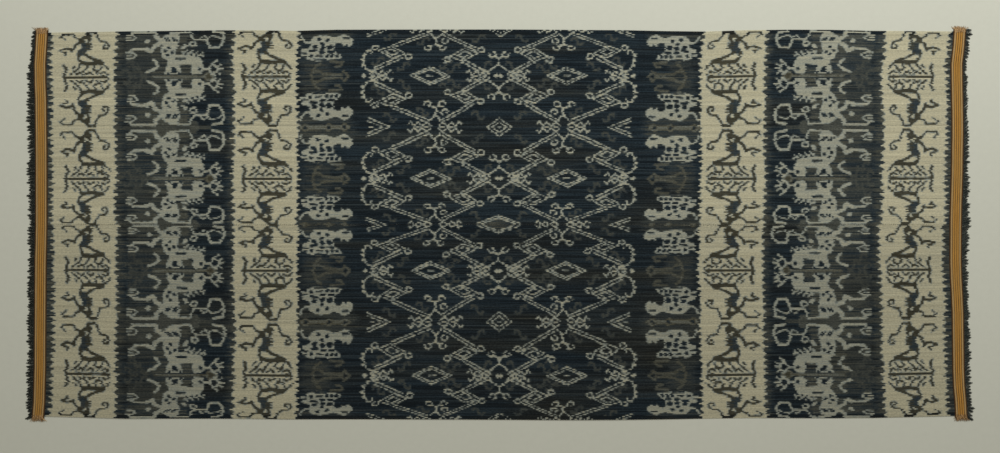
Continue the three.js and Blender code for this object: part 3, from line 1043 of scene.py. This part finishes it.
def joined_tubes(name, paths, shades, radius):
    """Many short yarns as one mesh: a three-sided tube along each path, tapering to its end."""
    sides, tip_share = 3, 0.6
    count, length = paths.shape[:2]
    forward = np.gradient(paths, axis=1)
    lateral = np.stack([-forward[..., 1], forward[..., 0], np.zeros((count, length))], -1)
    lateral /= np.linalg.norm(lateral, axis=-1, keepdims=True)
    turn = 2 * np.pi * np.arange(sides) / sides
    girth = radius * np.linspace(1, tip_share, length)[None, :, None, None]
    ring = np.cos(turn)[:, None] * lateral[:, :, None] + np.sin(turn)[:, None] * np.array([0.0, 0.0, 1.0])
    corners = paths[:, :, None] + girth * ring
    index = np.arange(count * length * sides).reshape(count, length, sides)
    near, far = index[:, :-1], index[:, 1:]
    walls = np.stack([near, np.roll(near, -1, 2), np.roll(far, -1, 2), far], -1).reshape(-1, 4)
    caps = np.concatenate([index[:, 0, ::-1], index[:, -1]])
    mesh = bpy.data.meshes.new(name)
    mesh.from_pydata(corners.reshape(-1, 3).tolist(), [], [*walls.tolist(), *caps.tolist()])
    layer = mesh.attributes.new("shade", "FLOAT", "POINT")
    layer.data.foreach_set("value", np.repeat(shades, length * sides).astype(np.float32))
    tubes = bmesh.new()
    tubes.from_mesh(mesh)
    bmesh.ops.recalc_face_normals(tubes, faces=tubes.faces)
    tubes.to_mesh(mesh)
    tubes.free()
    return mesh


def yarn_finish(name, dark, faded):
    """Loose yarn: each strand its own shade, darker and lighter along its twist."""
    finish = Finish(name, roughness=0.94, sheen=0.04)
    twist = finish.noise((900, 900, 900))
    shade = finish.attribute("shade") + twist.sway(0.5)
    finish.wear(finish.ramp(shade, [(0.0, dark), (1.0, faded)]), twist, 0.0003)
    return finish


class IKAT_OT_fringes(bpy.types.Operator):
    """Cut the fringe of loose warp ends past each band"""

    bl_idname = "ikat.fringes"
    bl_label = "Fringes"

    def execute(self, context):
        settings = context.scene.ikat_fringes
        finish = yarn_finish("fringe_yarn", settings.dark, settings.faded)
        first_seed = 21
        for seed, (end, outward) in enumerate(ENDS.items(), first_seed):
            node = f"fringe_{end}"
            paths, shades = self.yarn_paths(end, outward, seed, settings)
            mesh = joined_tubes(f"yarns_{node}", paths, shades, settings.yarn / 2)
            new_piece(f"yarns_{node}", mesh, finish, "fringe_yarn", node)
        return {"FINISHED"}

    def lock_tips(self, node):
        """The tips of the CAD fringe's locks, in order across the cloth."""
        tip_height, same = 0.0009, 2e-5
        points = node_points(node)
        tips = points[np.abs(points[:, 2] - tip_height) < same, :2]
        tips = tips[np.argsort(tips[:, 1])]
        pairs = len(tips) // 2
        return tips[: 2 * pairs].reshape(pairs, 2, 2).mean(1)

    def yarn_paths(self, end, outward, seed, settings):
        """Bent paths from under the band to about each lock's rounded tip, with a shade for each."""
        margin, tucked, bend, lowest, highest = 0.006, 0.003, 0.0014, 0.0002, 0.0018
        stray_share, far, near = 0.04, 0.003, 0.0006
        tip_z, root_rise, shortest, longest = 0.0006, 0.0006, 0.84, 1.02
        root_spread, tip_spread, rounded = 0.5, 0.4, 0.25
        random = np.random.default_rng(seed)
        tips = self.lock_tips(f"fringe_{end}")
        stops, inner, outer = stations(node_points(f"band_{end}"))
        roots = np.linspace(stops[0] + margin, stops[-1] - margin, len(tips))
        pitch = roots[1] - roots[0]
        lock = np.repeat(np.arange(len(tips)), settings.per_lock)
        aside = random.uniform(-1, 1, len(lock))
        root_y = roots[lock] + root_spread * pitch * aside
        root_x = np.interp(root_y, stops, inner if outward < 0 else outer) - outward * tucked
        stray = np.where(random.random(len(lock)) < stray_share, far, near)
        tip_y = tips[lock, 1] + tip_spread * pitch * aside + stray * random.standard_normal(len(lock))
        rounding = 1 - rounded * aside**2
        reach = np.abs(tips[lock, 0] - root_x) * rounding * random.uniform(shortest, longest, len(lock))
        bow = bend * random.standard_normal(len(lock))
        share = np.linspace(0, 1, 6)[None, :]
        x = root_x[:, None] + outward * reach[:, None] * share
        y = root_y[:, None] + (tip_y - root_y)[:, None] * share**1.3 + bow[:, None] * np.sin(np.pi * share)
        lift = random.uniform(lowest, highest, len(lock))[:, None]
        z = tip_z + root_rise * (1 - share) + lift * np.sin(np.pi * np.minimum(share * 1.15, 1))
        shades = np.clip(0.5 + 0.3 * random.standard_normal(len(lock)), 0, 1)
        return np.stack([x, y, z], -1), shades


class IKAT_OT_seam(bpy.types.Operator):
    """Sew the two panels together with slanting stitches"""

    bl_idname = "ikat.seam"
    bl_label = "Seam stitches"

    def execute(self, context):
        settings = context.scene.ikat_seam
        seed, margin, uneven = 31, 0.004, 0.0006
        lean, lean_spread = 0.0011, 0.0003
        arch, sink = 0.0006, 0.0008
        random = np.random.default_rng(seed)
        outline = PanelOutline("panel_upper")
        x = np.arange(outline.seam[0, 0] + margin, outline.seam[-1, 0] - margin, settings.pitch)
        x = x + uneven * random.standard_normal(len(x))
        y = outline.height(x, 0)
        share = np.linspace(-1, 1, 5)[None, :]
        slant = lean + lean_spread * random.standard_normal((len(x), 1))
        top = context.scene.ikat_panels.top
        path_x = x[:, None] + slant * share
        path_y = y[:, None] + settings.reach * share * random.uniform(0.8, 1.15, (len(x), 1))
        path_z = np.broadcast_to(top + arch - sink * share**2, path_x.shape)
        paths = np.stack([path_x, path_y, path_z], -1)
        shades = random.uniform(0, 1, len(x))
        mesh = joined_tubes("seam_stitches", paths, shades, settings.thread / 2)
        finish = yarn_finish("seam_thread", settings.dark, settings.faded)
        new_piece("seam_stitches", mesh, finish, "ikat_cloth")
        return {"FINISHED"}


class IKAT_OT_stage(bpy.types.Operator):
    """Set the pale floor, the soft light and the camera straight above the cloth"""

    bl_idname = "ikat.stage"
    bl_label = "Stage"

    def execute(self, context):
        settings = context.scene.ikat_stage
        self.floor(settings)
        self.light(context.scene, settings)
        self.camera(context.scene, settings)
        context.scene.view_settings.view_transform = "Standard"
        return {"FINISHED"}

    def floor(self, settings):
        """A wide floor with a fine grain."""
        squares, half_width = 8, 12
        plane = bmesh.new()
        bmesh.ops.create_grid(plane, x_segments=squares, y_segments=squares, size=half_width)
        mesh = bpy.data.meshes.new("floor")
        plane.to_mesh(mesh)
        plane.free()
        finish = Finish("pale_floor", roughness=0.9, sheen=0.0)
        grain = finish.noise((60, 60, 60), 4.0)
        finish.wear(finish.brighten(settings.floor, 0.97 + 0.06 * grain), grain, 0.0001)
        mesh.materials.append(finish.material)
        floor = bpy.data.objects.new("floor", mesh)
        bpy.context.scene.collection.objects.link(floor)

    def light(self, scene, settings):
        """A long lamp past the far selvedge, and a warm light from all round."""
        place, aim = Vector((0.35, 2.2, 1.8)), Vector((0, 0.3, 0))
        lamp_tint, sky_tint = (0.985, 1.0, 1.0), (1.0, 0.975, 0.9, 1.0)
        length, width = 5.2, 1.2
        lamp = bpy.data.lights.new("key", "AREA")
        lamp.shape = "RECTANGLE"
        lamp.size, lamp.size_y = length, width
        lamp.energy = settings.key_power
        lamp.color = lamp_tint
        key = bpy.data.objects.new("key", lamp)
        key.location = place
        key.rotation_euler = (aim - place).to_track_quat("-Z", "Y").to_euler()
        scene.collection.objects.link(key)
        scene.world = scene.world or bpy.data.worlds.new("world")
        scene.world.use_nodes = True
        sky = scene.world.node_tree.nodes["Background"]
        sky.inputs["Color"].default_value = sky_tint
        sky.inputs["Strength"].default_value = settings.fill

    def camera(self, scene, settings):
        """A camera straight above the cloth that takes in a set width of floor."""
        data = bpy.data.cameras.new("camera")
        data.lens = data.sensor_width * settings.camera_height / settings.view_width
        camera = bpy.data.objects.new("camera", data)
        camera.location = (0.0, -settings.view_shift, settings.camera_height)
        scene.collection.objects.link(camera)
        scene.camera = camera


class IKAT_PT_sidebar(bpy.types.Panel):
    """Lists the pieces of the cloth in the sidebar"""

    bl_label = "Warp ikat cloth"
    bl_space_type = "VIEW_3D"
    bl_region_type = "UI"
    bl_category = "Ikat"

    def draw(self, context):
        for operator in OPERATORS:
            self.layout.operator(operator.bl_idname)


SETTINGS = {
    "ikat_panels": PanelSettings,
    "ikat_bands": BandSettings,
    "ikat_fringes": FringeSettings,
    "ikat_seam": SeamSettings,
    "ikat_stage": StageSettings,
}
OPERATORS = (IKAT_OT_panels, IKAT_OT_fringes, IKAT_OT_bands, IKAT_OT_seam, IKAT_OT_stage)


def register():
    for kind in (*SETTINGS.values(), *OPERATORS, IKAT_PT_sidebar):
        bpy.utils.register_class(kind)
    for name, kind in SETTINGS.items():
        setattr(bpy.types.Scene, name, bpy.props.PointerProperty(type=kind))


def unregister():
    for name in SETTINGS:
        delattr(bpy.types.Scene, name)
    for kind in (IKAT_PT_sidebar, *OPERATORS, *SETTINGS.values()):
        bpy.utils.unregister_class(kind)


def main():
    register()
    bpy.ops.ikat.panels()
    bpy.ops.ikat.fringes()
    bpy.ops.ikat.bands()
    bpy.ops.ikat.seam()
    bpy.ops.ikat.stage()


if __name__ == "__main__":
    main()
